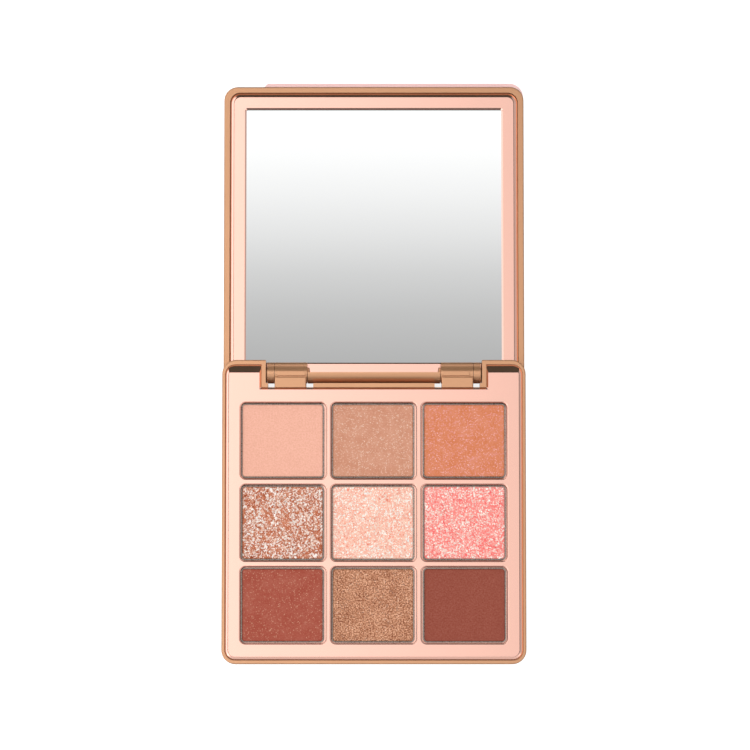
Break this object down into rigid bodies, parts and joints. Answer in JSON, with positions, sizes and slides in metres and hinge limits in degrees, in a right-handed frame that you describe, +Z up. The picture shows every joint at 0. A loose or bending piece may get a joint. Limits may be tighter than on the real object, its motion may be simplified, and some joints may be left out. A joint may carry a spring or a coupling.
{
  "type": "eyeshadow palette",
  "caption": "Square hinged makeup palette with a full mirror in the lid and a bevelled metallic tray of pressed powder pans.",
  "frame": {"origin": "on the underside, at the centre of the closed palette's square outline", "axes": "+X to the right, +Y from the case towards the open lid, +Z up out of the tray"},
  "size_m": [0.084, 0.1628, 0.011],
  "materials": {
    "case_shell": "satin rose-tan lacquer",
    "rose_gold_plate": "polished rose-gold metallising",
    "pan_metal": "bare pressed sheet",
    "shadow_peach_matte": "matte pressed powder",
    "shadow_tan_shimmer": "shimmer pressed powder",
    "shadow_orange_satin": "satin pressed powder",
    "shadow_copper_glitter": "glitter pressed powder",
    "shadow_champagne_glitter": "glitter pressed powder",
    "shadow_coral_glitter": "glitter pressed powder",
    "shadow_brick_satin": "satin pressed powder",
    "shadow_bronze_metallic": "metallic pressed powder",
    "shadow_cocoa_matte": "matte pressed powder",
    "glue": "clear adhesive",
    "magnet": "nickel plated",
    "hinge_pin": "ground steel",
    "mirror_glass": "silvered glass",
    "tape": "foam tape",
    "cover_panel": "glossy pink"
  },
  "bodies": {
    "case": {"base_case": "case_shell", "pan_tray": "rose_gold_plate", "pan_rear_left": "pan_metal", "pan_rear_centre": "pan_metal", "pan_rear_right": "pan_metal", "pan_middle_left": "pan_metal", "pan_middle_centre": "pan_metal", "pan_middle_right": "pan_metal", "pan_front_left": "pan_metal", "pan_front_centre": "pan_metal", "pan_front_right": "pan_metal", "shadow_peach_matte": "shadow_peach_matte", "shadow_tan_shimmer": "shadow_tan_shimmer", "shadow_orange_satin": "shadow_orange_satin", "shadow_copper_glitter": "shadow_copper_glitter", "shadow_champagne_glitter": "shadow_champagne_glitter", "shadow_coral_glitter": "shadow_coral_glitter", "shadow_brick_satin": "shadow_brick_satin", "shadow_bronze_metallic": "shadow_bronze_metallic", "shadow_cocoa_matte": "shadow_cocoa_matte", "pan_glue_pads": "glue", "base_magnet_left": "magnet", "base_magnet_right": "magnet", "hinge_pin_left": "hinge_pin", "hinge_pin_right": "hinge_pin"},
    "lid": {"lid_shell": "case_shell", "mirror_frame": "rose_gold_plate", "mirror": "mirror_glass", "mirror_tape": "tape", "lid_cover_panel": "cover_panel", "lid_magnet_left": "magnet", "lid_magnet_right": "magnet"}
  },
  "joints": [
    {"name": "lid_hinge", "type": "hinge", "parent": "case", "child": "lid", "pos_m": [0, 0.0386, 0.008], "axis": [1, 0, 0], "range_deg": [0, 180]}
  ]
}
